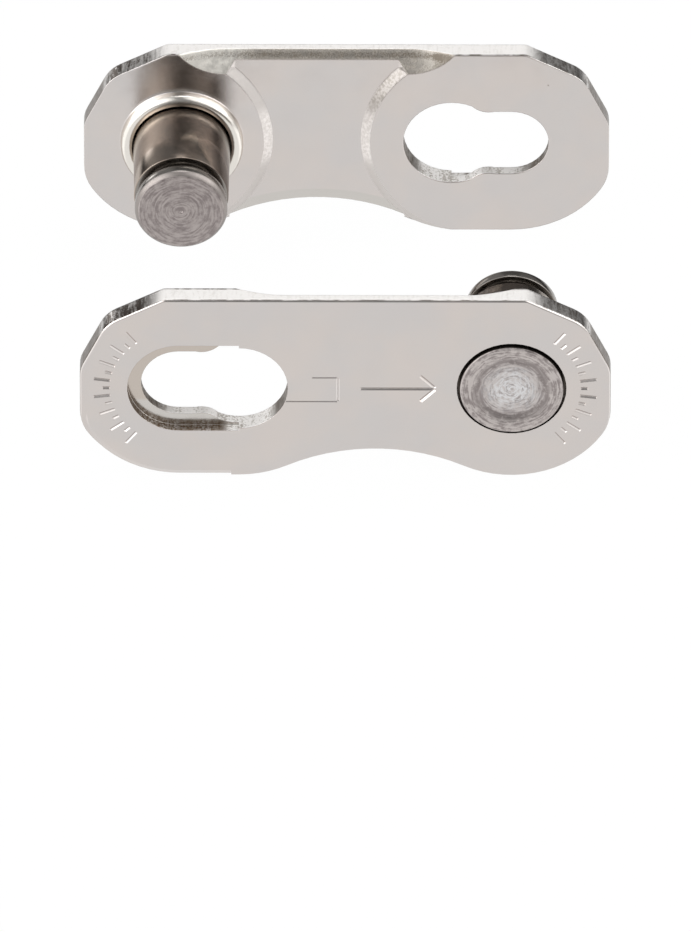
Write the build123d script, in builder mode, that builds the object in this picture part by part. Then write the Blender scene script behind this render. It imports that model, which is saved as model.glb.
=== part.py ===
from build123d import *

import os
from math import acos, asin, atan2, cos, degrees, radians, sin, sqrt, tan

# Two-piece connecting link of a roller chain. Each half is a coined side plate
# with one riveted, grooved pin and one keyhole slot. The halves are the same
# part, one turned half round about the vertical, and stand open, face to face.
# Row frame: X along the chain, Y along the pins, Z up, origin on the ground
# midway between the halves. Half frame: x from pin to slot, y up, z towards
# the other half, with z = 0 on the inner pads of the plate.

# --- Chain ---
pitch = 12.7  # pin centre to pin centre of the closed link
inner_width = 3.66  # between the pads of the closed link
opening_travel = 11.9  # how much further apart the open halves stand

# --- Plate outline ---
plate_height = 8.2
plate_thickness = 0.8
end_trim = 0.32  # the round ends are sheared flat by this much
lower_facet_run = 1.0  # the two facets take the upper corners off each end
lower_facet_rise = 2.08
upper_facet_run = 2.2
upper_facet_rise = 1.15
heel_radius = 2.0  # where the end flat meets the round lobe below it
end_corner_radius = 1.2  # where the end flat meets the lower facet
shoulder_radius = 1.4  # between the two facets
crown_radius = 0.4  # between the upper facet and the top edge
waist_depth = 1.23  # how far the waist is cut up into the lower edge

# --- Edges of the outer face ---
rollover_radius = 0.1
end_bevel_width = 0.26  # flat bevel under the slot end
end_bevel_depth = 0.18
end_bevel_stop = 0.3  # it stops this far outboard of the keyhole's entry
end_bevel_ramp = 1.6  # and fades out over this height at the end flat

# --- Coining of the inner face ---
relief_depth = 0.25  # the middle lies this far below the pads
relief_wall_run = 0.35  # width of the relief's sloping walls
pad_reach = 3.16  # from a hole's centre to its pad's inboard edge
pad_edge_margin = 0.15  # the pad edges are this much larger than the round ends
top_bevel_start = 0.9  # the top bevel begins this far below the top edge
top_bevel_slope = 25.6  # degrees from the plate's face
runout_radius = 2.3  # the top bevel's ends curve up through the pads
waist_bevel_width = 0.55
waist_bevel_depth = 0.17

# --- Pin ---
shank_radius = 1.82
cap_step = 0.03  # the locking cap is this much smaller than the shank
groove_depth = 0.41  # below the cap
cap_side = 0.38  # straight side of the cap
tip_chamfer_run = 0.17
tip_chamfer_rise = 0.17
tail_step = 0.18  # the tail, held in the plate, is this much smaller than the shank
tail_reach = 0.3  # it runs this far past the pads, inside the collar
head_overhang = 0.18  # the riveted head is this much larger than the shank
head_seat_depth = 0.3  # its underside lies this far below the outer face
head_proud = 0.12
head_rim = 0.66  # width of the rim round the head's turned middle
head_dish = 0.1  # the middle is sunk this far into it
head_chamfer = 0.07

# --- Keyhole ---
slot_travel = 2.29  # from the round entry to the narrow seat
web_thickness = 0.42  # left under the recess that the cap locks into
bump_offset = 1.43  # from the entry's centre to the two bumps in the throat
bump_radius = 0.9

# --- Collar raised round the pin on the inner face ---
collar_height = 0.42
collar_lip = 0.22  # from the open mouth out to the crest
collar_flank = 0.24  # from the crest out to the base
mouth_drop = 0.05  # the mouth lies this far below the crest

# --- Fits ---
shoulder_clearance = 0.02  # shank's shoulder to the other plate's pad
web_clearance = 0.04  # web to the sides of the groove
entry_clearance = 0.08  # cap to the keyhole's entry, on the radius
seat_clearance = 0.07  # neck to the keyhole's seat
bump_clearance = 0.04  # neck to the bumps
recess_clearance = 0.19  # cap to the sides of its recess
head_clearance = 0.09  # head to its counterbore
mouth_clearance = 0.1  # shank to the collar's mouth

# --- What follows from the sizes above ---
lobe_radius = plate_height / 2
pin_x = -pitch / 2
seat_x = pitch / 2
entry_x = seat_x - slot_travel
pad_edge_radius = lobe_radius + pad_edge_margin
pad_inset = pad_reach - pad_edge_radius
bevel_y = lobe_radius - top_bevel_start
heel_reach = lobe_radius - heel_radius
heel_drop = sqrt(heel_reach**2 - (heel_reach - end_trim) ** 2)
heel_turn = degrees(asin(heel_drop / heel_reach))
overcut = relief_depth  # cutting tools run this far past the edges they clear

cap_radius = shank_radius - cap_step
neck_radius = cap_radius - groove_depth
tail_radius = shank_radius - tail_step
head_radius = shank_radius + head_overhang
mouth_radius = shank_radius + mouth_clearance
crest_radius = mouth_radius + collar_lip
collar_radius = crest_radius + collar_flank
shoulder_z = inner_width - shoulder_clearance
cap_z = shoulder_z + web_thickness + web_clearance
tip_z = cap_z + cap_side + tip_chamfer_rise

half_gap = (entry_x - pin_x) / 2
waist_rise = lobe_radius - waist_depth
waist_radius = (half_gap**2 + waist_rise**2 - lobe_radius**2) / (2 * waist_depth)
waist_x = pin_x + half_gap
waist_y = -waist_rise - waist_radius
waist_turn = degrees(atan2(half_gap, -waist_y))


def half_frame(side):
    """Frame of one half: side is +1 for the rear half and -1 for the front one."""
    return Plane(
        origin=(0, side * (inner_width + opening_travel) / 2, lobe_radius),
        x_dir=(side, 0, 0),
        z_dir=(0, -side, 0),
    )


def axis_at(frame, x, y=0):
    """Axis square to the plate through a point of the half frame."""
    return Axis(frame.from_local_coords(Vector(x, y, 0)), frame.z_dir)


def spoke_plane(frame, x, y=0, turn=0):
    """Plane through that axis: its x runs outwards along a spoke, its y along the axis."""
    spoke = frame.x_dir * cos(radians(turn)) + frame.y_dir * sin(radians(turn))
    origin = frame.from_local_coords(Vector(x, y, 0))
    return Plane(origin=origin, x_dir=spoke, z_dir=spoke.cross(frame.z_dir))


def plate_outline():
    """Outline of the plate: faceted above, and below two round lobes and a waist."""
    end = pitch / 2 + lobe_radius - end_trim
    heel_x = end - heel_radius
    shoulder_x = end - lower_facet_run
    shoulder_y = lobe_radius - upper_facet_rise
    crown_x = shoulder_x - upper_facet_run
    corner_y = shoulder_y - lower_facet_rise
    radii = [end_corner_radius, shoulder_radius, crown_radius]
    with BuildLine() as outline:
        FilletPolyline(
            (end, -heel_drop),
            (end, corner_y),
            (shoulder_x, shoulder_y),
            (crown_x, lobe_radius),
            (-crown_x, lobe_radius),
            (-shoulder_x, shoulder_y),
            (-end, corner_y),
            (-end, -heel_drop),
            radius=radii + radii[::-1],
        )
        CenterArc((heel_x, -heel_drop), heel_radius, 0, -heel_turn)
        CenterArc((seat_x, 0), lobe_radius, -heel_turn, heel_turn - 90)
        Line((seat_x, -lobe_radius), (entry_x, -lobe_radius))
        CenterArc((entry_x, 0), lobe_radius, -90, -waist_turn)
        CenterArc((waist_x, waist_y), waist_radius, 90 - waist_turn, 2 * waist_turn)
        CenterArc((pin_x, 0), lobe_radius, waist_turn - 90, heel_turn - 90 - waist_turn)
        CenterArc((-heel_x, -heel_drop), heel_radius, heel_turn - 180, -heel_turn)
    return outline.line


def relief_ends():
    """Where the pad edges meet the foot of the top bevel."""
    half_chord = sqrt(pad_edge_radius**2 - bevel_y**2)
    return pin_x + pad_inset + half_chord, entry_x - pad_inset - half_chord


def make_end_bevel(frame):
    """What the bevel under the slot end takes off the edge of the outer face."""
    bevel_angle = degrees(atan2(end_bevel_width, end_bevel_depth))
    bevel_z = end_bevel_depth - plate_thickness
    with BuildPart() as cutter:
        with BuildSketch(spoke_plane(frame, entry_x + end_bevel_stop, 0, -90)):
            Polygon(
                (heel_drop, -plate_thickness),
                (heel_drop + end_bevel_ramp, bevel_z),
                (plate_height, bevel_z),
                (plate_height, -plate_thickness),
                align=None,
            )
        extrude(amount=-pitch)
        with BuildSketch(frame.offset(bevel_z)):
            with BuildLine():
                add(plate_outline())
            make_face()
        extrude(amount=-end_bevel_depth, taper=bevel_angle, mode=Mode.SUBTRACT)
    return cutter.part


def make_waist_bevel(frame):
    """What the bevel along the waist takes off the floor of the relief."""
    foot_radius = pad_edge_radius + relief_wall_run
    with BuildPart() as cutter:
        with BuildSketch(spoke_plane(frame, waist_x, waist_y, 90 - waist_turn)):
            with Locations((waist_radius, -relief_depth)):
                Polygon(
                    (-waist_bevel_width, 0),
                    (waist_bevel_width, 0),
                    (0, -waist_bevel_depth),
                    (-waist_bevel_width, -waist_bevel_depth),
                    align=None,
                )
        revolve(axis=axis_at(frame, waist_x, waist_y), revolution_arc=2 * waist_turn)
        with BuildSketch(frame.offset(-relief_depth)):
            with Locations((waist_x, 0)):
                Rectangle(pitch, 2 * plate_height)
            with Locations((pin_x + pad_inset, 0), (entry_x - pad_inset, 0)):
                Circle(foot_radius, mode=Mode.SUBTRACT)
        extrude(amount=-waist_bevel_depth, mode=Mode.INTERSECT)
    return cutter.part


def make_plate(frame):
    """Side plate: blanked, coined, and pierced for its pin and its keyhole."""
    outer_face = frame.offset(-plate_thickness)
    pin_axis = axis_at(frame, pin_x)
    relief_left, relief_right = relief_ends()
    end_cutter = make_end_bevel(frame)
    waist_cutter = make_waist_bevel(frame)

    with BuildPart() as plate:
        # Blank, its outer edges rolled over, and bevelled under the slot end.
        with BuildSketch(frame):
            with BuildLine():
                add(plate_outline())
            make_face()
        extrude(amount=-plate_thickness)
        outer_edges = plate.faces().sort_by(pin_axis)[0].outer_wire().edges()
        fillet(outer_edges, radius=rollover_radius)
        add(end_cutter, mode=Mode.SUBTRACT)

        # Relief between the pads, its walls sloping and bulging inboard.
        with BuildSketch(frame):
            with Locations((relief_left, 0)):
                Rectangle(
                    relief_right - relief_left,
                    plate_height,
                    align=(Align.MIN, Align.MIN),
                )
            with Locations((waist_x, 0)):
                Rectangle(pitch, plate_height, align=(Align.CENTER, Align.MAX))
            with Locations((pin_x + pad_inset, 0), (entry_x - pad_inset, 0)):
                Circle(pad_edge_radius, mode=Mode.SUBTRACT)
        wall_angle = degrees(atan2(relief_wall_run, relief_depth))
        extrude(amount=-relief_depth, taper=wall_angle, mode=Mode.SUBTRACT)
        add(waist_cutter, mode=Mode.SUBTRACT)

        # Top bevel: a wedge along the relief that curves up through both pads.
        wedge = top_bevel_start + overcut
        wedge_depth = wedge * tan(radians(top_bevel_slope))
        runout_turn = degrees(acos(1 - wedge / runout_radius))
        runout_y = bevel_y + runout_radius
        with BuildLine(frame):
            Line((relief_left, bevel_y), (relief_right, bevel_y))
            CenterArc((relief_left, runout_y), runout_radius, 270, -runout_turn)
            CenterArc((relief_right, runout_y), runout_radius, 270, runout_turn)
        with BuildSketch(spoke_plane(frame, relief_left, bevel_y, 90)):
            Polygon((0, 0), (wedge, 0), (wedge, -wedge_depth), align=None)
        sweep(mode=Mode.SUBTRACT)

        # Collar round the pin, with a rounded crest.
        mouth_z = collar_height - mouth_drop
        with BuildSketch(spoke_plane(frame, pin_x)):
            with BuildLine():
                Polyline(
                    (mouth_radius, mouth_z),
                    (mouth_radius, -overcut),
                    (collar_radius, -overcut),
                    (collar_radius, 0),
                )
                Spline(
                    (collar_radius, 0),
                    (crest_radius, collar_height),
                    (mouth_radius, mouth_z),
                    tangents=((0, 1), (-1, -0.8)),
                )
            make_face()
        revolve(axis=pin_axis)

        # Bore, open mouth and head seat for the pin.
        with BuildSketch(outer_face):
            with Locations((pin_x, 0)):
                Circle(tail_radius)
        extrude(amount=plate_thickness, mode=Mode.SUBTRACT)
        with BuildSketch(frame):
            with Locations((pin_x, 0)):
                Circle(mouth_radius)
        extrude(amount=collar_height, mode=Mode.SUBTRACT)
        with BuildSketch(outer_face):
            with Locations((pin_x, 0)):
                Circle(head_radius + head_clearance)
        extrude(amount=head_seat_depth, mode=Mode.SUBTRACT)

        # Keyhole: round entry, throat with two bumps that hold the neck, seat.
        seat_radius = neck_radius + seat_clearance
        bump_x = entry_x + bump_offset
        bump_y = neck_radius + bump_clearance + bump_radius
        with BuildSketch(outer_face):
            with Locations((entry_x, 0)):
                Circle(cap_radius + entry_clearance)
                Rectangle(slot_travel, 2 * seat_radius, align=(Align.MIN, Align.CENTER))
            with Locations((seat_x, 0)):
                Circle(seat_radius)
            with Locations((bump_x, bump_y), (bump_x, -bump_y)):
                Circle(bump_radius, mode=Mode.SUBTRACT)
        extrude(amount=plate_thickness, mode=Mode.SUBTRACT)

        # Recess in the outer face that the other pin's cap locks into.
        recess_radius = cap_radius + recess_clearance
        with BuildSketch(outer_face):
            with Locations((entry_x, 0)):
                Rectangle(slot_travel, 2 * recess_radius, align=(Align.MIN, Align.CENTER))
            with Locations((seat_x, 0)):
                Circle(recess_radius)
        extrude(amount=plate_thickness - web_thickness, mode=Mode.SUBTRACT)
    return plate


def make_pin(frame):
    """Pin: riveted head and tail, shank, locking groove and chamfered cap."""
    head_z = -plate_thickness - head_proud
    seat_z = -plate_thickness + head_seat_depth
    with BuildPart() as pin:
        with BuildSketch(spoke_plane(frame, pin_x)):
            Polygon(
                (0, head_z + head_dish),
                (head_radius - head_rim, head_z + head_dish),
                (head_radius - head_chamfer, head_z),
                (head_radius, head_z + head_chamfer),
                (head_radius, seat_z),
                (tail_radius, seat_z),
                (tail_radius, tail_reach),
                (shank_radius, tail_reach),
                (shank_radius, shoulder_z),
                (neck_radius, shoulder_z),
                (neck_radius, cap_z),
                (cap_radius, cap_z),
                (cap_radius, tip_z - tip_chamfer_rise),
                (cap_radius - tip_chamfer_run, tip_z),
                (0, tip_z),
                align=None,
            )
        revolve(axis=axis_at(frame, pin_x))
    return pin


os.makedirs("parts", exist_ok=True)
for half, side in (("rear", 1), ("front", -1)):
    frame = half_frame(side)

    plate = make_plate(frame)
    plate.part.label = f"{half}_plate"
    export_step(plate.part, f"parts/{half}_plate.step")

    pin = make_pin(frame)
    pin.part.label = f"{half}_pin"
    export_step(pin.part, f"parts/{half}_pin.step")
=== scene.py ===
from math import atan2, cos, hypot, pi, radians, sin

import bpy
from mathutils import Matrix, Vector


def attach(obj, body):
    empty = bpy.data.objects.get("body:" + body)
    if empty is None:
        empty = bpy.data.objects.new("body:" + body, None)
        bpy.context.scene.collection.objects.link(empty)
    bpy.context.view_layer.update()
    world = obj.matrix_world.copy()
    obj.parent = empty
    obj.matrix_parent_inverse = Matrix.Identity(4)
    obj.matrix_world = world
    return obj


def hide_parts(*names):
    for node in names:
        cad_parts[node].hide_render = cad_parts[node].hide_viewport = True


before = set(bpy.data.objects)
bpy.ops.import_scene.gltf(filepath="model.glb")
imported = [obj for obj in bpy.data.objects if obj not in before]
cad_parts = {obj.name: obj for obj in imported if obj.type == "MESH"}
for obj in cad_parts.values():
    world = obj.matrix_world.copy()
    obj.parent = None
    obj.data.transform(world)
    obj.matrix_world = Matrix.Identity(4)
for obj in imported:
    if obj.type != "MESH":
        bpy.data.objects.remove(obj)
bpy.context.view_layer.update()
print("frame loaded")

# Everything is in metres. The front half's plate shows its outer face to -Y, and the
# rear half is the same part turned half round about the vertical.
mm = 0.001
link = {
    "pinX": 6.35 * mm,  # the front pin's axis, and the keyhole's narrow seat at -pinX
    "axisZ": 4.1 * mm,
    "padY": -7.78 * mm,  # the front plate's inner pads
    "outerY": -8.58 * mm,  # its outer face
    "thickness": 0.8 * mm,
}


def deselectAll():
    if bpy.context.object and bpy.context.object.mode != "OBJECT":
        bpy.ops.object.mode_set(mode="OBJECT")
    bpy.ops.object.select_all(action="DESELECT")


def pickOnly(piece):
    deselectAll()
    piece.select_set(True)
    bpy.context.view_layer.objects.active = piece


def editAll(piece):
    pickOnly(piece)
    bpy.ops.object.mode_set(mode="EDIT")
    bpy.ops.mesh.select_all(action="SELECT")


def endEdit():
    bpy.ops.object.mode_set(mode="OBJECT")


def applyModifiers(piece):
    pickOnly(piece)
    for modifier in list(piece.modifiers):
        bpy.ops.object.modifier_apply(modifier=modifier.name)


def applyPlace(piece):
    pickOnly(piece)
    bpy.ops.object.transform_apply(location=True, rotation=True, scale=True)


def copyTurned(piece, name):
    # The same part for the rear half, turned half round about Z.
    pickOnly(piece)
    bpy.ops.object.duplicate()
    other = bpy.context.object
    other.name = name
    other.rotation_euler = (0, 0, pi)
    applyPlace(other)
    return other


def shadeByArea(piece, angle):
    # Smooth up to the angle, with the large faces kept flat.
    pickOnly(piece)
    bpy.ops.object.shade_smooth_by_angle(angle=radians(angle))
    flats = piece.modifiers.new("flats", "WEIGHTED_NORMAL")
    flats.mode = "FACE_AREA"
    flats.weight = 90
    flats.keep_sharp = True
    applyModifiers(piece)


# Small helpers for building materials.
def newMaterial(name):
    material = bpy.data.materials.new(name)
    material.use_nodes = True
    nodes = material.node_tree.nodes
    nodes.clear()
    shader = nodes.new("ShaderNodeBsdfPrincipled")
    output = nodes.new("ShaderNodeOutputMaterial")
    connect(material, shader.outputs["BSDF"], output.inputs["Surface"])
    return material, shader


def addNode(material, kind, values=None, **settings):
    node = material.node_tree.nodes.new(kind)
    for key, value in settings.items():
        setattr(node, key, value)
    for key, value in (values or {}).items():
        node.inputs[key].default_value = value
    return node


def connect(material, source, target):
    material.node_tree.links.new(source, target)


def feed(material, value, target):
    # A plain number or colour is set on the socket, and anything else is linked to it.
    if isinstance(value, (int, float)):
        target.default_value = value
    elif isinstance(value, tuple):
        target.default_value = (*value, 1)
    else:
        connect(material, value, target)


def objectPlace(material, scale=(1, 1, 1)):
    coordinates = addNode(material, "ShaderNodeTexCoord")
    mapping = addNode(material, "ShaderNodeMapping", {"Scale": scale})
    connect(material, coordinates.outputs["Object"], mapping.inputs["Vector"])
    return mapping.outputs["Vector"]


def noise(material, place, scale, detail=3, roughness=0.55):
    values = {"Scale": scale, "Detail": detail, "Roughness": roughness}
    node = addNode(material, "ShaderNodeTexNoise", values)
    connect(material, place, node.inputs["Vector"])
    return node.outputs["Fac"]


def ramp(material, value, fromMin, fromMax, toMin, toMax, smooth=True):
    node = addNode(
        material,
        "ShaderNodeMapRange",
        {"From Min": fromMin, "From Max": fromMax, "To Min": toMin, "To Max": toMax},
        interpolation_type="SMOOTHSTEP" if smooth else "LINEAR",
    )
    connect(material, value, node.inputs["Value"])
    return node.outputs["Result"]


def rise(material, value, limits):
    # From 0 at the first limit to 1 at the second.
    return ramp(material, value, *limits, 0, 1)


def fall(material, value, limits):
    # From 1 at the first limit to 0 at the second.
    return ramp(material, value, *limits, 1, 0)


def combine(material, operation, first, second=0.0, clamp=False):
    node = addNode(material, "ShaderNodeMath", operation=operation, use_clamp=clamp)
    feed(material, first, node.inputs[0])
    feed(material, second, node.inputs[1])
    return node.outputs["Value"]


def times(material, product, *factors):
    for factor in factors:
        product = combine(material, "MULTIPLY", product, factor)
    return product


def mixColours(material, factor, first, second):
    node = addNode(material, "ShaderNodeMix", data_type="RGBA")
    connect(material, factor, node.inputs[0])
    feed(material, first, node.inputs[6])
    feed(material, second, node.inputs[7])
    return node.outputs[2]


def mixValues(material, factor, first, second):
    node = addNode(material, "ShaderNodeMix", data_type="FLOAT")
    feed(material, factor, node.inputs[0])
    feed(material, first, node.inputs[2])
    feed(material, second, node.inputs[3])
    return node.outputs[0]


def bump(material, height, distance, after=None, strength=1.0):
    node = addNode(material, "ShaderNodeBump", {"Strength": strength, "Distance": distance})
    connect(material, height, node.inputs["Height"])
    if after is not None:
        connect(material, after, node.inputs["Normal"])
    return node.outputs["Normal"]


def roundedEdges(material, radius):
    # The slight rounding that tumbling leaves on every sharp edge.
    node = addNode(material, "ShaderNodeBevel", samples=8)
    feed(material, radius, node.inputs["Radius"])
    return node.outputs["Normal"]


def dressMetal(material, shader, colour, rough, normal, metallic=1):
    feed(material, colour, shader.inputs["Base Color"])
    feed(material, rough, shader.inputs["Roughness"])
    feed(material, normal, shader.inputs["Normal"])
    feed(material, metallic, shader.inputs["Metallic"])


def objectAxes(material):
    split = addNode(material, "ShaderNodeSeparateXYZ")
    connect(material, objectPlace(material), split.inputs["Vector"])
    return split.outputs["X"], split.outputs["Y"], split.outputs["Z"]


def vectorOf(material, *values):
    joined = addNode(material, "ShaderNodeCombineXYZ")
    for value, target in zip(values, joined.inputs):
        connect(material, value, target)
    return joined.outputs["Vector"]


def endOfPlate(material, across, depth):
    # X times Y, in square metres: above zero at the keyhole's end of either plate, and
    # below zero at the pin's end.
    return times(material, across, depth)


def pinPlace(material):
    # Coordinates about the nearer pin's own axis, for either pin: the radius, and how far
    # along the pin from the plate's inner pads.
    across, along, upward = objectAxes(material)
    across = combine(material, "SUBTRACT", combine(material, "ABSOLUTE", across), link["pinX"])
    upward = combine(material, "SUBTRACT", upward, link["axisZ"])
    squares = combine(
        material, "ADD", times(material, across, across), times(material, upward, upward)
    )
    radius = combine(material, "SQRT", squares)
    inward = combine(material, "ABSOLUTE", along)
    return radius, combine(material, "SUBTRACT", -link["padY"], inward)


def brokenRings(material, radius, breaks):
    # Rings about the pin's axis that fade in and out along their length.
    across, _, upward = objectAxes(material)
    across = times(material, across, breaks)
    upward = times(material, upward, breaks)
    return vectorOf(material, radius, across, upward)


# In the finishes below, a noise is its scale, detail and roughness. A pair is where
# something starts and ends, and a ramp is such a pair and then its value at each end.
nickel = {
    "warm": (0.625, 0.575, 0.545),
    "cool": (0.595, 0.565, 0.55),
    "pit": (0.42, 0.38, 0.35),
    "recess": (0.53, 0.475, 0.425),
    "waist": (0.575, 0.55, 0.52),
    # Paler plating on the collar, a painted highlight.
    "collar": (0.76, 0.725, 0.675),
    # Painted shade for the gaps round the pin.
    "gapShade": (0.05, 0.043, 0.036),
    "roughRamp": (0.3, 0.75, 0.15, 0.25),
    "outerRound": 0.03 * mm,
    "innerRound": 0.09 * mm,
    "waveDepth": 0.0045 * mm,
    "grainDepth": 0.0008 * mm,
    "pitDepth": 0.003 * mm,
    "cloudNoise": (420, 4),
    "roughNoise": (900, 5, 0.65),
    "waveNoise": (900, 2),
    "grainNoise": (16000, 2),
    "pitNoise": (4200, 2, 0.4),
    "cloudLevels": (0.3, 0.7),
    "pitLevels": (0.81, 0.84),
    "recessStart": (-0.55 * mm, -0.48 * mm),  # along the pin, from the inner pads
    "recessEnd": (-0.36 * mm, -0.3 * mm),
    "recessHeight": (1.7 * mm, 1.9 * mm),
    "recessSide": 20e-6,  # square metres, as endOfPlate gives them
    "waistStart": (-0.45 * mm, -0.43 * mm),
    "waistEnd": (-0.28 * mm, -0.25 * mm),
    "waistHeight": (3.2 * mm, 3.4 * mm),
    "collarHighlightStart": (0.01 * mm, 0.06 * mm),
    "gapChange": (-0.5 * mm, -0.4 * mm),
    "gapRadii": (1.925 * mm, 2.08 * mm),  # round the tail inside, and the head outside
    "roundingChange": (-0.35 * mm, -0.3 * mm),
}


def nickelPlating():
    # Bright plating over tumbled steel: faint clouds, fine grain, a few small pits. It is
    # duller in the keyhole's recess and along the waist, paler on the collar as a painted
    # highlight, and painted near black in the gaps round the pin as their shade.
    material, shader = newMaterial("nickelPlating")
    place = objectPlace(material)
    across, depth, upward = objectAxes(material)
    radius, along = pinPlace(material)
    side = endOfPlate(material, across, depth)
    clouds = rise(material, noise(material, place, *nickel["cloudNoise"]), nickel["cloudLevels"])
    colour = mixColours(material, clouds, nickel["warm"], nickel["cool"])
    inRecess = times(
        material,
        rise(material, along, nickel["recessStart"]),
        fall(material, along, nickel["recessEnd"]),
        rise(material, upward, nickel["recessHeight"]),
        combine(material, "GREATER_THAN", side, nickel["recessSide"]),
    )
    colour = mixColours(material, inRecess, colour, nickel["recess"])
    onWaist = times(
        material,
        fall(material, along, nickel["waistEnd"]),
        rise(material, along, nickel["waistStart"]),
        fall(material, upward, nickel["waistHeight"]),
    )
    colour = mixColours(material, onWaist, colour, nickel["waist"])
    pits = rise(material, noise(material, place, *nickel["pitNoise"]), nickel["pitLevels"])
    colour = mixColours(material, pits, colour, nickel["pit"])
    # Painted highlight: the collar is coloured paler.
    collarHighlight = rise(material, along, nickel["collarHighlightStart"])
    colour = mixColours(material, collarHighlight, colour, nickel["collar"])
    # Painted shade: the gaps round the pin and its head are coloured near black.
    outside = fall(material, along, nickel["gapChange"])
    gapEdge = ramp(material, outside, 0, 1, *nickel["gapRadii"], smooth=False)
    inGapShade = times(
        material,
        combine(material, "LESS_THAN", radius, gapEdge),
        combine(material, "LESS_THAN", side, 0.0),
    )
    colour = mixColours(material, inGapShade, colour, nickel["gapShade"])
    rough = ramp(material, noise(material, place, *nickel["roughNoise"]), *nickel["roughRamp"])
    rounding = ramp(
        material, along, *nickel["roundingChange"], nickel["outerRound"], nickel["innerRound"]
    )
    rounded = roundedEdges(material, rounding)
    waves = bump(
        material, noise(material, place, *nickel["waveNoise"]), nickel["waveDepth"], rounded
    )
    grain = bump(
        material, noise(material, place, *nickel["grainNoise"]), nickel["grainDepth"], waves
    )
    pitted = bump(
        material, combine(material, "SUBTRACT", 1.0, pits), nickel["pitDepth"], grain
    )
    dressMetal(material, shader, colour, rough, pitted)
    return material


coinedWall = {
    "light": (0.84, 0.80, 0.775),
    "dull": (0.66, 0.62, 0.59),
    # Painted shade for both ends of the curved wall.
    "ends": (0.60, 0.565, 0.54),
    "upper": (0.36, 0.33, 0.30),
    "roughRamp": (0.3, 0.7, 0.4, 0.52),
    "dragDepth": 0.005 * mm,
    "mottleNoise": (9000, 3, 0.6),
    "mottleLevels": (0.35, 0.65),
    "middle": 4.3 * mm,
    "endsStart": (0.8 * mm, 1.5 * mm),  # above and below the middle
    "upperStart": (5.2 * mm, 6.2 * mm),
    "upperRamp": (0.38, 0.6, 1.0, 0.2),
}


def coinedWallMetal():
    # The relief's sloping walls, dragged by the die: matt, with fine pale mottling. They
    # carry painted shade at both ends, and are darkest at the upper end beside the keyhole.
    material, shader = newMaterial("coinedWall")
    across, depth, upward = objectAxes(material)
    side = endOfPlate(material, across, depth)
    mottle = noise(material, objectPlace(material), *coinedWall["mottleNoise"])
    tint = rise(material, mottle, coinedWall["mottleLevels"])
    colour = mixColours(material, tint, coinedWall["dull"], coinedWall["light"])
    # Painted shade towards both ends of the curved wall.
    offMiddle = combine(material, "SUBTRACT", upward, coinedWall["middle"])
    atShadedEnds = rise(material, combine(material, "ABSOLUTE", offMiddle), coinedWall["endsStart"])
    colour = mixColours(material, atShadedEnds, colour, coinedWall["ends"])
    upper = times(
        material,
        combine(material, "GREATER_THAN", side, 0.0),
        rise(material, upward, coinedWall["upperStart"]),
        ramp(material, mottle, *coinedWall["upperRamp"]),
    )
    colour = mixColours(material, upper, colour, coinedWall["upper"])
    rough = ramp(material, mottle, *coinedWall["roughRamp"])
    rounded = roundedEdges(material, nickel["innerRound"])
    dragged = bump(material, mottle, coinedWall["dragDepth"], rounded)
    dressMetal(material, shader, colour, rough, dragged)
    return material


swagedBevel = {
    "light": (0.66, 0.615, 0.555),
    "dark": (0.26, 0.225, 0.185),
    "cream": (0.97, 0.94, 0.87),
    "roughRamp": (0.3, 0.7, 0.28, 0.45),
    "speckleDepth": 0.004 * mm,
    "speckleNoise": (20000, 2, 0.6),
    "patchNoise": (3600, 3, 0.6),
    "patchShare": 0.7,
    "darkRamp": (0.7, 1.0, 0.1, 0.75),
    "shadeBandHeight": 7.99 * mm,
    "shadeBandRamp": (0.03 * mm, 0.17 * mm, 0.22, -0.3),  # above and below that height
    "stainRamp": (3.25 * mm, 3.6 * mm, 0, 0.5),
    "pinSide": (-38e-6, -26e-6),  # square metres, as endOfPlate gives them
    "pinPaler": 0.35,
}


def swagedBevelMetal():
    # The pressed lead-in bevel: finely speckled brown-grey with a band of painted shade along
    # its top, paler at the pin's end and stained at the keyhole's end.
    material, shader = newMaterial("swagedBevel")
    place = objectPlace(material)
    across, depth, upward = objectAxes(material)
    side = endOfPlate(material, across, depth)
    speckle = noise(material, place, *swagedBevel["speckleNoise"])
    patches = noise(material, place, *swagedBevel["patchNoise"])
    shared = times(material, patches, swagedBevel["patchShare"])
    both = combine(material, "ADD", speckle, shared)
    dark = ramp(material, both, *swagedBevel["darkRamp"])
    # Painted shade along the bevel's top, a little lighter away from it.
    offShadeBand = combine(material, "SUBTRACT", upward, swagedBevel["shadeBandHeight"])
    paintedShadeBand = ramp(material, combine(material, "ABSOLUTE", offShadeBand), *swagedBevel["shadeBandRamp"])
    dark = combine(material, "ADD", dark, paintedShadeBand, clamp=True)
    stain = times(
        material,
        ramp(material, combine(material, "ABSOLUTE", across), *swagedBevel["stainRamp"]),
        combine(material, "GREATER_THAN", side, 0.0),
    )
    dark = combine(material, "ADD", dark, stain, clamp=True)
    pinEnd = fall(material, side, swagedBevel["pinSide"])
    light = mixColours(material, pinEnd, swagedBevel["light"], swagedBevel["cream"])
    paler = times(material, pinEnd, swagedBevel["pinPaler"])
    dark = combine(material, "SUBTRACT", dark, paler, clamp=True)
    colour = mixColours(material, dark, light, swagedBevel["dark"])
    rough = ramp(material, patches, *swagedBevel["roughRamp"])
    rounded = roundedEdges(material, nickel["innerRound"])
    pitted = bump(material, speckle, swagedBevel["speckleDepth"], rounded)
    dressMetal(material, shader, colour, rough, pitted)
    return material


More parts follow.
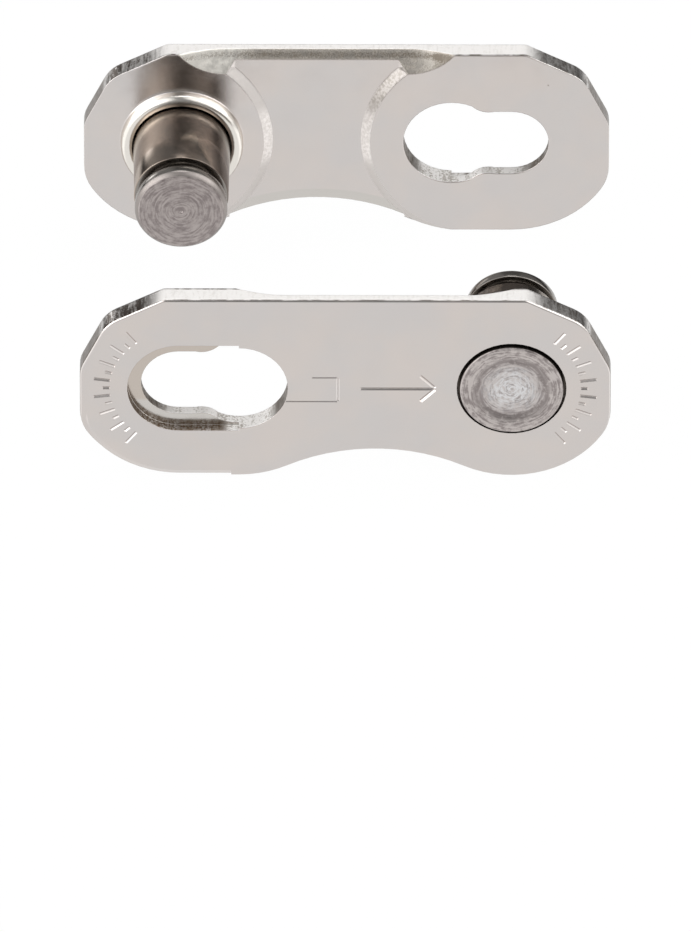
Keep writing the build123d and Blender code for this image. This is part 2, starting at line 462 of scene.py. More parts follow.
shearedEdge = {
    "bright": (0.80, 0.78, 0.76),
    # Painted shade colour for the cut-off corners.
    "dark": (0.21, 0.185, 0.165),
    "stain": (0.06, 0.046, 0.037),
    "speck": (0.30, 0.265, 0.23),
    # Painted shade for the keyhole's walls above its floor.
    "slotWallShade": (0.115, 0.092, 0.073),
    "brown": (0.15, 0.105, 0.07),
    "topSpeck": (0.60, 0.575, 0.54),
    # Painted shade for the border lines on the top.
    "line": (0.085, 0.066, 0.052),
    "flatRough": 0.5,
    "facetRough": 0.3,
    "topMetallic": 0.3,
    "streakDepth": 0.005 * mm,
    "gritDepth": 0.002 * mm,
    "streakScale": (1, 0.2, 1),  # drawn out through the thickness
    "streakNoise": (9000, 2, 0.6),
    "broadNoise": (2200, 3, 0.6),
    "fineNoise": (12000, 2, 0.6),
    "fineShare": 0.7,
    "cornerOutward": (6.7 * mm, 7.9 * mm),
    "cornerHeight": (3.6 * mm, 5.2 * mm),
    "mottleRamp": (1.05, 1.6, 1.0, 0.15),
    "stainAcross": (-7.0 * mm, -6.6 * mm),
    "stainRamp": (0.35, 0.6, 1.0, 0.6),
    "stainShare": 0.3,
    "keyholeBottom": (1.6 * mm, 1.9 * mm),
    "keyholeTop": (6.4 * mm, 6.7 * mm),
    "speckRamp": (0.95, 1.2, 0, 0.8),
    "slotShadeHeight": (2.55 * mm, 3.0 * mm),
    "slotShadeRamp": (0.7, 1.05, 1.0, 0.72),
    "slotFloorRamp": (2.5 * mm, 3.0 * mm, 0.8, 0),
    "recessEnd": (-0.44 * mm, -0.40 * mm),  # along the pin, from the inner pads
    "recessInner": (1.82 * mm, 1.9 * mm),
    "recessOuter": (2.5 * mm, 2.8 * mm),
    "recessRamp": (0.42, 0.62, 1.0, 0.45),
    "topHeight": (7.0 * mm, 7.4 * mm),
    "topRamp": (0.8, 1.15, 0, 0.45),
    "innerLine": (-0.09 * mm, -0.06 * mm),
    "outerLine": (-0.74 * mm, -0.71 * mm),
    "lineRamp": (0.42, 0.58, 1, 0.4),
}


def shearedEdgeMetal():
    # Blanked edges, streaked through the thickness: matt along the top with a broken line of
    # painted shade at each border, painted shade on the cut-off corners and stained on those
    # to the left, specked in the keyhole, painted shade on its sides and brown in its recess.
    material, shader = newMaterial("shearedEdge")
    streakPlace = objectPlace(material, shearedEdge["streakScale"])
    streaks = noise(material, streakPlace, *shearedEdge["streakNoise"])
    broad = noise(material, streakPlace, *shearedEdge["broadNoise"])
    fine = noise(material, objectPlace(material), *shearedEdge["fineNoise"])
    grain = combine(material, "ADD", streaks, times(material, fine, shearedEdge["fineShare"]))
    across, _, upward = objectAxes(material)
    radius, along = pinPlace(material)
    outward = combine(material, "ABSOLUTE", across)
    corner = times(
        material,
        rise(material, outward, shearedEdge["cornerOutward"]),
        rise(material, upward, shearedEdge["cornerHeight"]),
    )
    coarse = combine(material, "ADD", grain, broad)
    mottle = ramp(material, coarse, *shearedEdge["mottleRamp"])
    stained = times(
        material,
        fall(material, across, shearedEdge["stainAcross"]),
        ramp(material, broad, *shearedEdge["stainRamp"]),
    )
    heavier = times(material, stained, shearedEdge["stainShare"])
    mottle = combine(material, "ADD", mottle, heavier, clamp=True)
    dark = mixColours(material, stained, shearedEdge["dark"], shearedEdge["stain"])
    # Painted shade on the cut-off corners, where the facets turn from the light.
    paintedCornerShade = times(material, corner, mottle)
    colour = mixColours(material, paintedCornerShade, shearedEdge["bright"], dark)
    inKeyhole = times(
        material,
        fall(material, upward, shearedEdge["keyholeTop"]),
        rise(material, upward, shearedEdge["keyholeBottom"]),
    )
    finer = combine(material, "ADD", fine, broad)
    specks = times(material, ramp(material, finer, *shearedEdge["speckRamp"]), inKeyhole)
    colour = mixColours(material, specks, colour, shearedEdge["speck"])
    # Painted shade on the keyhole's walls above its floor.
    slotWallShade = times(
        material,
        inKeyhole,
        rise(material, upward, shearedEdge["slotShadeHeight"]),
        ramp(material, grain, *shearedEdge["slotShadeRamp"]),
    )
    colour = mixColours(material, slotWallShade, colour, shearedEdge["slotWallShade"])
    aroundSeat = times(
        material,
        rise(material, radius, shearedEdge["recessInner"]),
        fall(material, radius, shearedEdge["recessOuter"]),
    )
    inRecess = times(material, fall(material, along, shearedEdge["recessEnd"]), aroundSeat)
    browned = times(material, inRecess, ramp(material, fine, *shearedEdge["recessRamp"]))
    colour = mixColours(material, browned, colour, shearedEdge["brown"])
    onTop = times(
        material,
        rise(material, upward, shearedEdge["topHeight"]),
        combine(material, "SUBTRACT", 1.0, corner),
    )
    wearAndPaintedLight = times(material, onTop, ramp(material, grain, *shearedEdge["topRamp"]))
    colour = mixColours(material, wearAndPaintedLight, colour, shearedEdge["topSpeck"])
    # Painted shade: a broken dark line at each border of the top, standing in for the rounded
    # edge's reflection.
    innerLine = rise(material, along, shearedEdge["innerLine"])
    outerLine = fall(material, along, shearedEdge["outerLine"])
    paintedBorderShade = times(
        material,
        onTop,
        combine(material, "MAXIMUM", innerLine, outerLine),
        ramp(material, broad, *shearedEdge["lineRamp"]),
    )
    colour = mixColours(material, paintedBorderShade, colour, shearedEdge["line"])
    slotFloor = times(
        material,
        inKeyhole,
        ramp(material, upward, *shearedEdge["slotFloorRamp"]),
        combine(material, "SUBTRACT", 1.0, inRecess),
    )
    matt = combine(material, "MAXIMUM", onTop, slotFloor)
    metallic = ramp(material, matt, 0, 1, 1, shearedEdge["topMetallic"])
    rough = ramp(
        material, corner, 0, 1, shearedEdge["flatRough"], shearedEdge["facetRough"]
    )
    rounded = roundedEdges(material, nickel["innerRound"])
    torn = bump(material, streaks, shearedEdge["streakDepth"], rounded)
    gritty = bump(material, fine, shearedEdge["gritDepth"], torn)
    dressMetal(material, shader, colour, rough, gritty, metallic)
    return material


steel = {
    "brown": (0.27, 0.218, 0.182),
    "grey": (0.185, 0.158, 0.137),
    # Painted light for the side towards the plate's end, and painted shade for the other.
    "wearAndPaintedLight": (0.38, 0.32, 0.27),
    "paintedShadeSide": (0.125, 0.10, 0.085),
    "bare": (0.27, 0.25, 0.23),
    "chamfer": (0.27, 0.243, 0.23),
    "roughRamp": (0.3, 0.7, 0.14, 0.24),
    "chamferRougher": 0.2,
    "ringDepth": 0.0008 * mm,
    "ringStrength": 0.6,
    "grainDepth": 0.0007 * mm,
    "edgeRound": 0.035 * mm,
    "ringNoise": (9000, 3, 0.6),
    "cloudNoise": (1100, 4, 0.6),
    "grainNoise": (13000, 2, 0.6),
    "roughNoise": (2400, 4, 0.7),
    "grainShare": 0.5,
    "tintLevels": (0.62, 0.88),
    "patchRamp": (0.35, 0.65, 0.6, 1),
    "litSideOutward": (0.5 * mm, 1.2 * mm),  # from the pin's axis, towards the plate's end
    "shadeSideOutward": (-1.5 * mm, -0.9 * mm),
    "tailStart": (3.3 * mm, 3.4 * mm),
    "bareRadius": 1.785 * mm,
    "chamferStart": (4.42 * mm, 4.48 * mm),
    "chamferRamp": (0.3, 0.6, 0.6, 1),
}


def turnedSteel():
    # The shank, rolled and hardened: brownish and finely grained, with painted light in pale
    # patches on the side towards the plate's end and painted shade on the other. Its groove
    # and locking cap are bare, and the cap's chamfer is rougher.
    material, shader = newMaterial("turnedSteel")
    place = objectPlace(material)
    across, _, _ = objectAxes(material)
    radius, along = pinPlace(material)
    clouds = noise(material, place, *steel["cloudNoise"])
    grain = noise(material, place, *steel["grainNoise"])
    both = combine(material, "ADD", clouds, times(material, grain, steel["grainShare"]))
    tint = rise(material, both, steel["tintLevels"])
    colour = mixColours(material, tint, steel["brown"], steel["grey"])
    outward = combine(material, "SUBTRACT", combine(material, "ABSOLUTE", across), link["pinX"])
    patchy = ramp(material, clouds, *steel["patchRamp"])
    # Painted light on the side towards the plate's end, and painted shade on the other side.
    wearAndPaintedLight = times(material, rise(material, outward, steel["litSideOutward"]), patchy)
    colour = mixColours(material, wearAndPaintedLight, colour, steel["wearAndPaintedLight"])
    paintedShadeSide = times(material, fall(material, outward, steel["shadeSideOutward"]), patchy)
    colour = mixColours(material, paintedShadeSide, colour, steel["paintedShadeSide"])
    bare = times(
        material,
        combine(material, "LESS_THAN", radius, steel["bareRadius"]),
        rise(material, along, steel["tailStart"]),
    )
    colour = mixColours(material, bare, colour, steel["bare"])
    onChamfer = times(
        material,
        rise(material, along, steel["chamferStart"]),
        ramp(material, grain, *steel["chamferRamp"]),
    )
    colour = mixColours(material, onChamfer, colour, steel["chamfer"])
    rough = ramp(material, noise(material, place, *steel["roughNoise"]), *steel["roughRamp"])
    rougher = times(material, onChamfer, steel["chamferRougher"])
    rough = combine(material, "ADD", rough, rougher)
    rings = noise(material, vectorOf(material, along), *steel["ringNoise"])
    rounded = roundedEdges(material, steel["edgeRound"])
    turned = bump(material, rings, steel["ringDepth"], rounded, steel["ringStrength"])
    speckled = bump(material, grain, steel["grainDepth"], turned)
    dressMetal(material, shader, colour, rough, speckled)
    return material


faceSteel = {
    "light": (0.45, 0.405, 0.39),
    "dark": (0.25, 0.217, 0.212),
    "headPale": (0.55, 0.505, 0.485),
    "headLight": (0.70, 0.695, 0.70),
    # Painted shade for the head's sloping ring.
    "headRingShade": (0.255, 0.225, 0.218),
    # Painted shade for the head's side in the gap.
    "headSideShade": (0.06, 0.05, 0.045),
    "roughRamp": (0.3, 0.7, 0.32, 0.5),
    "ringDepth": 0.006 * mm,
    "speckleDepth": 0.002 * mm,
    "wobble": 0.25 * mm,
    "scatter": 0.7 * mm,
    "wobbleNoise": (900, 2),
    "ringNoise": (15000, 2, 0.5),
    "ringBreaks": 0.12,
    "ringShare": 0.9,
    "patchNoise": (3200, 4, 0.7),
    "swirlNoise": (11000, 4, 0.75),
    "swirlBreaks": 0.45,
    "speckleNoise": (15000, 2),
    "toneLevels": (0.72, 1.17),
    "headEnd": (-0.5 * mm, 0.0),  # along the pin, from the inner pads
    "paleRamp": (0, 1, 0.1, 1.0),
    "middleRadii": (0.45 * mm, 1.45 * mm),
    "swirlRamp": (0.38, 0.62, 0.15, 1.15),
    "ringInner": (1.2 * mm, 1.42 * mm),
    "ringOuter": (1.5 * mm, 1.7 * mm),
    "blotchRamp": (0.35, 0.6, 0.3, 1.0),
    "sideShadeRadii": (1.955 * mm, 1.975 * mm),
}


def facedSteel():
    # The pin's two end faces: turned rings all over the tip, and a riveted head with a dull
    # ring of painted shade round its pale, swirled middle, and painted shade on its side.
    material, shader = newMaterial("facedSteel")
    place = objectPlace(material)
    radius, along = pinPlace(material)
    patches = noise(material, place, *faceSteel["patchNoise"])
    wobble = times(
        material, noise(material, place, *faceSteel["wobbleNoise"]), faceSteel["wobble"]
    )
    wavering = combine(material, "ADD", radius, wobble)
    ringPlace = brokenRings(material, wavering, faceSteel["ringBreaks"])
    rings = noise(material, ringPlace, *faceSteel["ringNoise"])
    shared = times(material, rings, faceSteel["ringShare"])
    tone = rise(material, combine(material, "ADD", shared, patches), faceSteel["toneLevels"])
    colour = mixColours(material, tone, faceSteel["dark"], faceSteel["light"])
    atHead = fall(material, along, faceSteel["headEnd"])
    pale = times(material, atHead, ramp(material, tone, *faceSteel["paleRamp"]))
    colour = mixColours(material, pale, colour, faceSteel["headPale"])
    offset = combine(material, "SUBTRACT", patches, 0.5)
    spread = combine(
        material, "ADD", wavering, times(material, offset, faceSteel["scatter"])
    )
    swirlPlace = brokenRings(material, wavering, faceSteel["swirlBreaks"])
    swirls = noise(material, swirlPlace, *faceSteel["swirlNoise"])
    middle = times(material, atHead, fall(material, spread, faceSteel["middleRadii"]))
    swirled = ramp(material, swirls, *faceSteel["swirlRamp"])
    bright = combine(material, "MULTIPLY", middle, swirled, clamp=True)
    colour = mixColours(material, bright, colour, faceSteel["headLight"])
    # Painted shade on the head's sloping ring, dull and blotched.
    dull = times(
        material,
        rise(material, spread, faceSteel["ringInner"]),
        fall(material, spread, faceSteel["ringOuter"]),
        atHead,
        ramp(material, patches, *faceSteel["blotchRamp"]),
    )
    colour = mixColours(material, dull, colour, faceSteel["headRingShade"])
    # Painted shade, near black, on the head's side in the gap to the plate.
    side = times(material, atHead, rise(material, radius, faceSteel["sideShadeRadii"]))
    colour = mixColours(material, side, colour, faceSteel["headSideShade"])
    rough = ramp(material, patches, *faceSteel["roughRamp"])
    turned = bump(material, rings, faceSteel["ringDepth"])
    speckle = noise(material, place, *faceSteel["speckleNoise"])
    speckled = bump(material, speckle, faceSteel["speckleDepth"], turned)
    dressMetal(material, shader, colour, rough, speckled)
    return material


platingMaterial = nickelPlating()
bevelMaterial = swagedBevelMetal()
wallMaterial = coinedWallMetal()
edgeMaterial = shearedEdgeMetal()
shankMaterial = turnedSteel()
faceMaterial = facedSteel()
print("materials made")


marks = {
    "strokeWidth": 0.13 * mm,
    "strokeDepth": 0.045 * mm,
    "thinWidth": 0.06 * mm,
    "thinDepth": 0.02 * mm,
    "tickInner": 2.6 * mm,
    "longTick": 3.32 * mm,
    "shortTick": 2.95 * mm,
    "tickCount": 15,
    "tickStep": 7.4,  # degrees
    "leftStart": 128.0,
    "rightStart": 52.0,
    "endTaper": 0.05,  # how wide the punch stays at the bottom of its stroke
}
arrow = {
    "tailX": 0.55 * mm,
    "tipX": 3.45 * mm,
    "barb": 0.62 * mm,
    "z": 4.08 * mm,
    "width": 0.16 * mm,
    "depth": 0.06 * mm,
}
dieMark = {"left": -2.3 * mm, "right": -0.28 * mm, "bottom": 3.485 * mm, "top": 4.597 * mm}


def strokeTool(start, end, width, depth):
    # A V-shaped punch along one stroke of the outer face, as a mesh to cut with.
    (startX, startZ), (endX, endZ) = start, end
    length = hypot(endX - startX, endZ - startZ)
    deselectAll()
    bpy.ops.mesh.primitive_cube_add(size=1, location=(0, 0, 0))
    tool = bpy.context.object
    bpy.ops.object.mode_set(mode="EDIT")
    bpy.ops.mesh.select_all(action="DESELECT")
    endEdit()
    # The side that goes into the plate narrows to the stroke's bottom.
    for face in tool.data.polygons:
        face.select = face.normal.y > 0.5
    bpy.ops.object.mode_set(mode="EDIT")
    bpy.ops.transform.resize(value=((length - width) / length, 1, marks["endTaper"]))
    endEdit()
    tool.scale = (length, 2 * depth, 2 * width)
    tool.rotation_euler = (0, -atan2(endZ - startZ, endX - startX), 0)
    tool.location = ((startX + endX) / 2, link["outerY"], (startZ + endZ) / 2)
    applyPlace(tool)
    return tool


def stampStrokes():
    # Tick marks round both ends, an arrow, and the outline that the die leaves.
    strokes = []
    wide = (marks["strokeWidth"], marks["strokeDepth"])
    thin = (marks["thinWidth"], marks["thinDepth"])
    for side, start in ((-1, marks["leftStart"]), (1, marks["rightStart"])):
        centre = Vector((side * link["pinX"], link["axisZ"]))
        for count in range(marks["tickCount"]):
            angle = radians(start - side * count * marks["tickStep"])
            along = Vector((cos(angle), sin(angle)))
            outer = marks["shortTick"] if count % 2 else marks["longTick"]
            first = centre + along * marks["tickInner"]
            strokes.append((tuple(first), tuple(centre + along * outer), *wide))
    tip = (arrow["tipX"], arrow["z"])
    bold = (arrow["width"], arrow["depth"])
    strokes.append(((arrow["tailX"], arrow["z"]), tip, *wide))
    for side in (1, -1):
        barb = (arrow["tipX"] - arrow["barb"], arrow["z"] + side * arrow["barb"])
        strokes.append((barb, tip, *bold))
    lowLeft = (dieMark["left"], dieMark["bottom"])
    lowRight = (dieMark["right"], dieMark["bottom"])
    topRight = (dieMark["right"], dieMark["top"])
    topMiddle = ((dieMark["right"] + dieMark["left"]) / 2, dieMark["top"])
    strokes.append((lowLeft, lowRight, *thin))
    strokes.append((lowRight, topRight, *wide))
    strokes.append((topMiddle, topRight, *thin))
    return strokes


def stampInto(piece):
    tools = [strokeTool(*stroke) for stroke in stampStrokes()]
    deselectAll()
    for tool in tools:
        tool.select_set(True)
    bpy.context.view_layer.objects.active = tools[0]
    bpy.ops.object.join()
    punch = bpy.context.object
    cut = piece.modifiers.new("stamp", "BOOLEAN")
    cut.operation = "DIFFERENCE"
    cut.solver = "EXACT"
    cut.use_self = True
    cut.object = punch
    applyModifiers(piece)
    pickOnly(punch)
    bpy.ops.object.delete()


plate = {
    "mergeDistance": 0.0004 * mm,
    "smoothAngle": 24,
    "edgeNormal": 0.5,  # each of these is a face's normal towards the other plate
    "bevelNormals": (0.86, 0.96),
    "wallNormals": (0.3, 0.86),
    "collarRadius": 2.6 * mm,
    "bevelBottom": 6.9 * mm,
    "pinPad": 7.44 * mm,  # centre of the round relief wall at the pin's end
    "slotPad": -5.15 * mm,
    "padSplit": 1 * mm,  # the X that parts the two pads
    "wallTop": 4.24 * mm,
    "wallFoot": 4.61 * mm,
}
plateMaterials = (platingMaterial, edgeMaterial, bevelMaterial, wallMaterial)


def copyOfNode(nodeName, pieceName):
    # A merged copy of the CAD node's mesh, to work on.
    piece = bpy.data.objects.new(pieceName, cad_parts[nodeName].data.copy())
    bpy.context.scene.collection.objects.link(piece)
    editAll(piece)
    bpy.ops.mesh.customdata_custom_splitnormals_clear()
    bpy.ops.mesh.remove_doubles(threshold=plate["mergeDistance"])
    bpy.ops.mesh.normals_make_consistent(inside=False)
    endEdit()
    return piece


def finishOf(centre, normal):
    # Walls through the thickness are sheared, but the pin's collar and bore are plated.
    fromPin = hypot(centre.x - link["pinX"], centre.z - link["axisZ"])
    if abs(normal.y) < plate["edgeNormal"] and fromPin > plate["collarRadius"]:
        return edgeMaterial
    low, high = plate["bevelNormals"]
    if low < normal.y < high and centre.z > plate["bevelBottom"]:
        return bevelMaterial
    pad = plate["pinPad"] if centre.x > plate["padSplit"] else plate["slotPad"]
    fromPad = hypot(centre.x - pad, centre.z - link["axisZ"])
    low, high = plate["wallNormals"]
    if low < normal.y < high and plate["wallTop"] < fromPad < plate["wallFoot"]:
        return wallMaterial
    return platingMaterial


def makePlate():
    piece = copyOfNode("front_plate", "frontPlate")
    stampInto(piece)
    piece.data.materials.clear()
    for material in plateMaterials:
        piece.data.materials.append(material)
    for face in piece.data.polygons:
        face.material_index = plateMaterials.index(finishOf(face.center, face.normal))
    # A crisp border wherever the finish changes.
    pickOnly(piece)
    bpy.ops.object.mode_set(mode="EDIT")
    for index in range(1, len(plateMaterials)):
        bpy.ops.mesh.select_mode(type="FACE")
        bpy.ops.mesh.select_all(action="DESELECT")
        piece.active_material_index = index
        bpy.ops.object.material_slot_select()
        bpy.ops.mesh.region_to_loop()
        bpy.ops.mesh.mark_sharp()
    bpy.ops.mesh.select_mode(type="VERT")
    endEdit()
    shadeByArea(piece, plate["smoothAngle"])
    return piece


frontPlate = makePlate()
rearPlate = copyTurned(frontPlate, "rearPlate")
print("plates made", len(frontPlate.data.polygons), "faces each")


# Lengths along the pin are from the plate's inner pads. The lists of pairs give points
# of the profile in mm: how far along, and how far from the radius that they belong to.
pin = {
    "sides": 160,
    "smoothAngle": 30,
    "edgeRound": 0.03 * mm,
    "edgeMiddle": 0.3,  # where the middle of a rounded edge lies, as a part of it
    "headProud": 0.12 * mm,
    "headRadius": 1.98 * mm,
    "headCrown": ((0.02, 0.32), (0.0, 0.12), (0.012, 0.05), (0.05, 0.0)),
    "dish": 0.1 * mm,
    "dishRim": (0.045, 0.08),
    "discRadius": 1.26 * mm,
    "discRings": 8,
    "discRingDepth": 0.012 * mm,
    "headSeat": -0.5 * mm,
    "headFaces": -0.3 * mm,  # every face up to here is faced steel
    "tailRadius": 1.64 * mm,
    "collarTop": 0.3 * mm,
    "rootRadius": 1.87 * mm,  # where the shank leaves the collar
    "shankRadius": 1.82 * mm,
    "shankTaper": ((1.1, 0.045), (2.0, 0.02)),
    "grooveStart": 3.64 * mm,
    "neckRadius": 1.38 * mm,
    "grooveEnd": 4.1 * mm,
    "capRadius": 1.784 * mm,
    "capEnd": ((4.45, 0.0), (4.5, 0.02)),  # a soft start to the chamfer
    "tipFaces": 4.55 * mm,  # level faces beyond here are faced steel too
    "tipNormal": 0.75,
    "tip": 4.65 * mm,
    "tipRadius": 1.62 * mm,
    "chamferEnd": (4.63, 0.03),
    "tipRim": 0.02 * mm,
    "tipRings": 16,
    "tipRingDepth": 0.005 * mm,
    "centreDepth": 0.03 * mm,
    "centreDot": 0.05 * mm,
}


def pinProfile():
    # From the head's middle to the tip's middle: how far along the pin, and the radius.
    face = -link["thickness"] - pin["headProud"]
    middle = face + pin["dish"]
    edge = pin["edgeRound"]
    bend = edge * pin["edgeMiddle"]
    head, disc, tail = pin["headRadius"], pin["discRadius"], pin["tailRadius"]
    root, shank, neck = pin["rootRadius"], pin["shankRadius"], pin["neckRadius"]
    cap, tipRadius = pin["capRadius"], pin["tipRadius"]
    seat, collar, tip = pin["headSeat"], pin["collarTop"], pin["tip"]
    grooveStart, grooveEnd = pin["grooveStart"], pin["grooveEnd"]
    points = []
    for step in range(1, pin["discRings"] + 1):
        raised = pin["discRingDepth"] if step % 2 else 0.0
        points.append((middle + raised, disc * step / pin["discRings"]))
    proud, outside = pin["dishRim"]
    points.append((middle - proud * mm, disc + outside * mm))
    points += [(face + along * mm, head - inside * mm) for along, inside in pin["headCrown"]]
    points += [
        (seat, head),
        (seat, tail),
        (collar, tail),
        (collar, root - edge),
        (collar + edge, root),
    ]
    points += [(along * mm, shank + wider * mm) for along, wider in pin["shankTaper"]]
    points += [
        (grooveStart - edge, shank),
        (grooveStart - bend, shank - bend),
        (grooveStart, shank - edge),
        (grooveStart, neck + edge),
        (grooveStart + edge, neck),
        (grooveEnd - edge, neck),
        (grooveEnd, neck + edge),
        (grooveEnd, cap - edge),
        (grooveEnd + bend, cap - bend),
        (grooveEnd + edge, cap),
    ]
    points += [(along * mm, cap - inside * mm) for along, inside in pin["capEnd"]]
    along, wider = pin["chamferEnd"]
    points.append((along * mm, tipRadius + wider * mm))
    rim = tipRadius - pin["tipRim"]
    points.append((tip, rim))
    ringStep = (tipRadius - pin["centreDot"]) / (2 * pin["tipRings"])
    for ring in range(1, 2 * pin["tipRings"]):
        depth = pin["tipRingDepth"] if ring % 2 else 0.0
        points.append((tip - depth, rim - ring * ringStep))
    points.append((tip - pin["centreDepth"], pin["centreDot"]))
    return points


def makePin():
    # Drawn out ring by ring from a disc at the middle of the head.
    profile = pinProfile()
    along, radius = profile[0]
    deselectAll()
    bpy.ops.mesh.primitive_circle_add(
        vertices=pin["sides"],
        radius=radius,
        fill_type="NGON",
        location=(0, 0, 0),
        rotation=(pi / 2, 0, 0),
    )
    piece = bpy.context.object
    piece.name = "frontPin"
    piece.location = (link["pinX"], link["padY"] + along, link["axisZ"])
    applyPlace(piece)
    editAll(piece)
    for nextAlong, nextRadius in profile[1:]:
        growth = nextRadius / radius
        bpy.ops.mesh.extrude_region_move(
            TRANSFORM_OT_translate={"value": (0, nextAlong - along, 0)}
        )
        bpy.ops.transform.resize(
            value=(growth, 1, growth),
            center_override=(link["pinX"], link["padY"] + nextAlong, link["axisZ"]),
        )
        along, radius = nextAlong, nextRadius
    bpy.ops.mesh.select_all(action="SELECT")
    bpy.ops.mesh.normals_make_consistent(inside=False)
    endEdit()
    piece.data.materials.append(shankMaterial)
    piece.data.materials.append(faceMaterial)
    for face in piece.data.polygons:
        faceAlong = face.center.y - link["padY"]
        onHead = faceAlong < pin["headFaces"]
        onTip = faceAlong > pin["tipFaces"] and abs(face.normal.y) > pin["tipNormal"]
        face.material_index = 1 if onHead or onTip else 0
    shadeByArea(piece, pin["smoothAngle"])
    return piece


frontPin = makePin()
rearPin = copyTurned(frontPin, "rearPin")
print("pins made", len(frontPin.data.polygons), "faces each")

for piece, node, body, slotName in (
    (frontPlate, "front_plate", "front_half", "nickel_plate"),
    (rearPlate, "rear_plate", "rear_half", "nickel_plate"),
    (frontPin, "front_pin", "front_half", "pin_steel"),
    (rearPin, "rear_pin", "rear_half", "pin_steel"),
):
    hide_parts(node)
    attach(piece, body)
print("pieces riding on their halves")


# The room is one grey level for each direction. Its pairs are parts of a direction of
# length one, where one level gives way to the next.
studio = {
    "floorSize": 1.2,
    "floorColour": (0.86, 0.86, 0.86, 1),
    "floorWhite": 0.985,
    "lampDistance": 0.25,
    "lampSpread": 1.4,
    "lampAim": (0, 0, 4 * mm),
    "tableMiddle": 1.0,
    "tableSides": 1.35,
    "tableSpread": (0.55, 0.78),
    "frontMiddle": 0.28,
    "frontSides": 0.5,
    "frontSpread": (0.12, 0.32),
    "behindLow": 0.05,
    "behindMiddle": 0.17,
    "behindLeft": 0.42,
    "behindRight": 0.28,
    "behindSpread": (0.14, 0.3),
    "behindHeight": (0.1, 0.3),
    "leftToRight": (-0.1, 0.1),
    "frontToBehind": (0.3, 0.65),
    "tableToRoom": (-0.24, -0.04),
}
# Direction, half angle of the bright part, half angle where it ends, radiance.
softboxes = {
    "leftSoftbox": ((-0.8, -0.35, 0.4), 35, 50, 1.6),
    "rightSoftbox": ((0.75, -0.2, 0.63), 35, 50, 1.35),
    "topSoftbox": ((0.0, 0.26, 0.966), 8, 20, 3.0),
    "backSoftbox": ((-0.6, 0.79, 0.12), 5, 12, 2.0),
}


def makeFloor():
    # Plain white where the camera or a reflection sees it, pale and matt for the light.
    deselectAll()
    bpy.ops.mesh.primitive_plane_add(size=studio["floorSize"], location=(0, 0, 0))
    floor = bpy.context.object
    floor.name = "floor"
    material = bpy.data.materials.new("paleFloor")
    material.use_nodes = True
    material.node_tree.nodes.clear()
    matt = addNode(material, "ShaderNodeBsdfDiffuse", {"Color": studio["floorColour"]})
    white = addNode(material, "ShaderNodeEmission", {"Strength": 1.0})
    ray = addNode(material, "ShaderNodeLightPath")
    seen = combine(material, "ADD", ray.outputs["Is Camera Ray"], ray.outputs["Is Glossy Ray"])
    seen = combine(material, "ADD", seen, ray.outputs["Is Transmission Ray"], clamp=True)
    mixed = addNode(material, "ShaderNodeMixShader")
    output = addNode(material, "ShaderNodeOutputMaterial")
    connect(material, times(material, seen, studio["floorWhite"]), mixed.inputs["Fac"])
    connect(material, matt.outputs["BSDF"], mixed.inputs[1])
    connect(material, white.outputs["Emission"], mixed.inputs[2])
    connect(material, mixed.outputs["Shader"], output.inputs["Surface"])
    floor.data.materials.append(material)
    floor.visible_glossy = False


def makeLamp(name, direction, halfAngle, radiance):
    # A square lamp inside its softbox's soft reflection.
    side = studio["lampSpread"] * studio["lampDistance"] * sin(radians(halfAngle))
    data = bpy.data.lights.new(name, "AREA")
    data.shape = "SQUARE"
    data.size = side
    data.energy = radiance * pi * side * side
    lamp = bpy.data.objects.new(name, data)
    bpy.context.scene.collection.objects.link(lamp)
    away = Vector(direction).normalized()
    lamp.location = away * studio["lampDistance"] + Vector(studio["lampAim"])
    lamp.rotation_euler = away.to_track_quat("Z", "Y").to_euler()


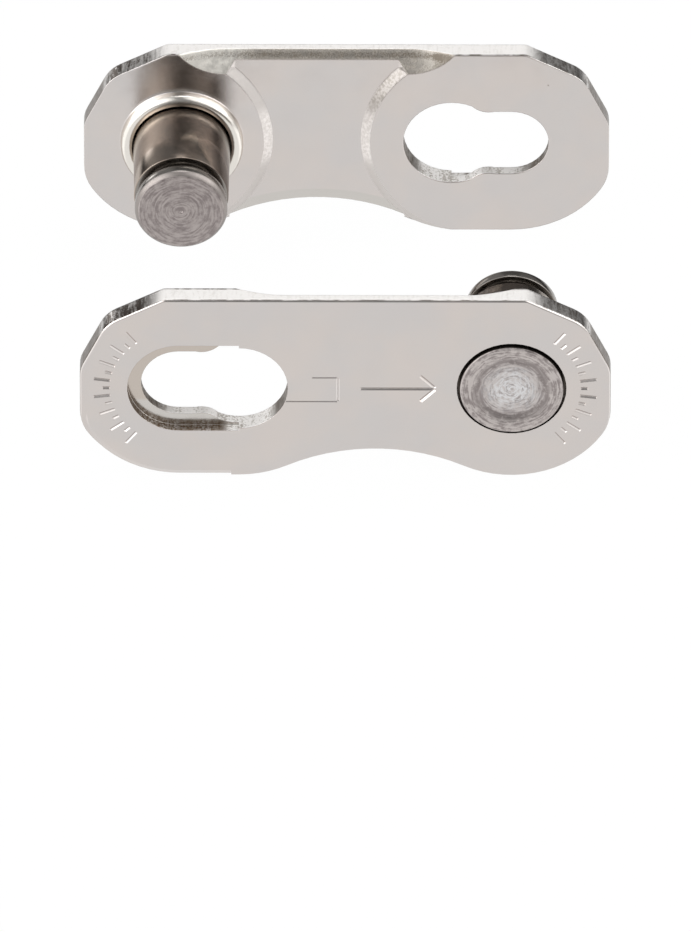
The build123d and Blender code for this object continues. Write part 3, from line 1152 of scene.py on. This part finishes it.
def makeWorld():
    # A pale table, brighter to the sides, and a dim room that is darkest low behind.
    world = bpy.data.worlds.new("studioRoom")
    bpy.context.scene.world = world
    world.use_nodes = True
    world.node_tree.nodes.clear()
    direction = addNode(world, "ShaderNodeTexCoord").outputs["Generated"]
    split = addNode(world, "ShaderNodeSeparateXYZ")
    connect(world, direction, split.inputs["Vector"])
    across, depth, upward = split.outputs["X"], split.outputs["Y"], split.outputs["Z"]
    sideways = combine(world, "ABSOLUTE", across)
    table = ramp(
        world, sideways, *studio["tableSpread"], studio["tableMiddle"], studio["tableSides"]
    )
    room = ramp(
        world, sideways, *studio["frontSpread"], studio["frontMiddle"], studio["frontSides"]
    )
    sides = ramp(
        world, across, *studio["leftToRight"], studio["behindLeft"], studio["behindRight"]
    )
    spread = rise(world, sideways, studio["behindSpread"])
    behind = mixValues(world, spread, studio["behindMiddle"], sides)
    height = rise(world, upward, studio["behindHeight"])
    behind = mixValues(world, height, studio["behindLow"], behind)
    room = mixValues(world, rise(world, depth, studio["frontToBehind"]), room, behind)
    for lampDirection, inner, outer, radiance in softboxes.values():
        towards = addNode(world, "ShaderNodeVectorMath", operation="DOT_PRODUCT")
        towards.inputs[1].default_value = Vector(lampDirection).normalized()
        connect(world, direction, towards.inputs[0])
        limits = (cos(radians(outer)), cos(radians(inner)))
        room = mixValues(world, rise(world, towards.outputs["Value"], limits), room, radiance)
    level = mixValues(world, rise(world, upward, studio["tableToRoom"]), table, room)
    # White where the camera sees it.
    ray = addNode(world, "ShaderNodeLightPath").outputs["Is Camera Ray"]
    unseen = times(world, level, combine(world, "SUBTRACT", 1.0, ray))
    background = addNode(world, "ShaderNodeBackground", {"Color": (1, 1, 1, 1)})
    output = addNode(world, "ShaderNodeOutputWorld")
    connect(world, combine(world, "ADD", unseen, ray), background.inputs["Strength"])
    connect(world, background.outputs["Background"], output.inputs["Surface"])


view = {
    "azimuth": 0.168,
    "elevation": 35.6,
    "pixelsPerMm": 26.0,
    "lens": 1250.0,
    "sensor": 36.0,
    "nearest": 0.1,
    "farthest": 10,
}
picture = {"width": 691, "height": 932, "originX": 345.9, "originY": 345.8}


def makeCamera():
    azimuth = radians(view["azimuth"])
    elevation = radians(view["elevation"])
    flat = cos(elevation)
    back = Vector((sin(azimuth) * flat, -cos(azimuth) * flat, sin(elevation)))
    right = Vector((cos(azimuth), sin(azimuth), 0))
    up = back.cross(right)
    scale = mm / view["pixelsPerMm"]
    aim = right * (picture["width"] / 2 - picture["originX"]) * scale
    aim -= up * (picture["height"] / 2 - picture["originY"]) * scale
    data = bpy.data.cameras.new("camera")
    data.sensor_width = view["sensor"]
    data.lens = view["lens"]
    distance = picture["height"] * scale * data.lens / data.sensor_width
    data.clip_start = view["nearest"]
    data.clip_end = view["farthest"]
    camera = bpy.data.objects.new("camera", data)
    bpy.context.scene.collection.objects.link(camera)
    camera.location = aim + back * distance
    camera.rotation_euler = back.to_track_quat("Z", "Y").to_euler()
    bpy.context.scene.camera = camera


makeFloor()
for name, (direction, inner, outer, radiance) in softboxes.items():
    makeLamp(name, direction, inner, radiance)
makeWorld()
makeCamera()
bpy.context.scene.view_settings.view_transform = "Standard"
print("studio made")
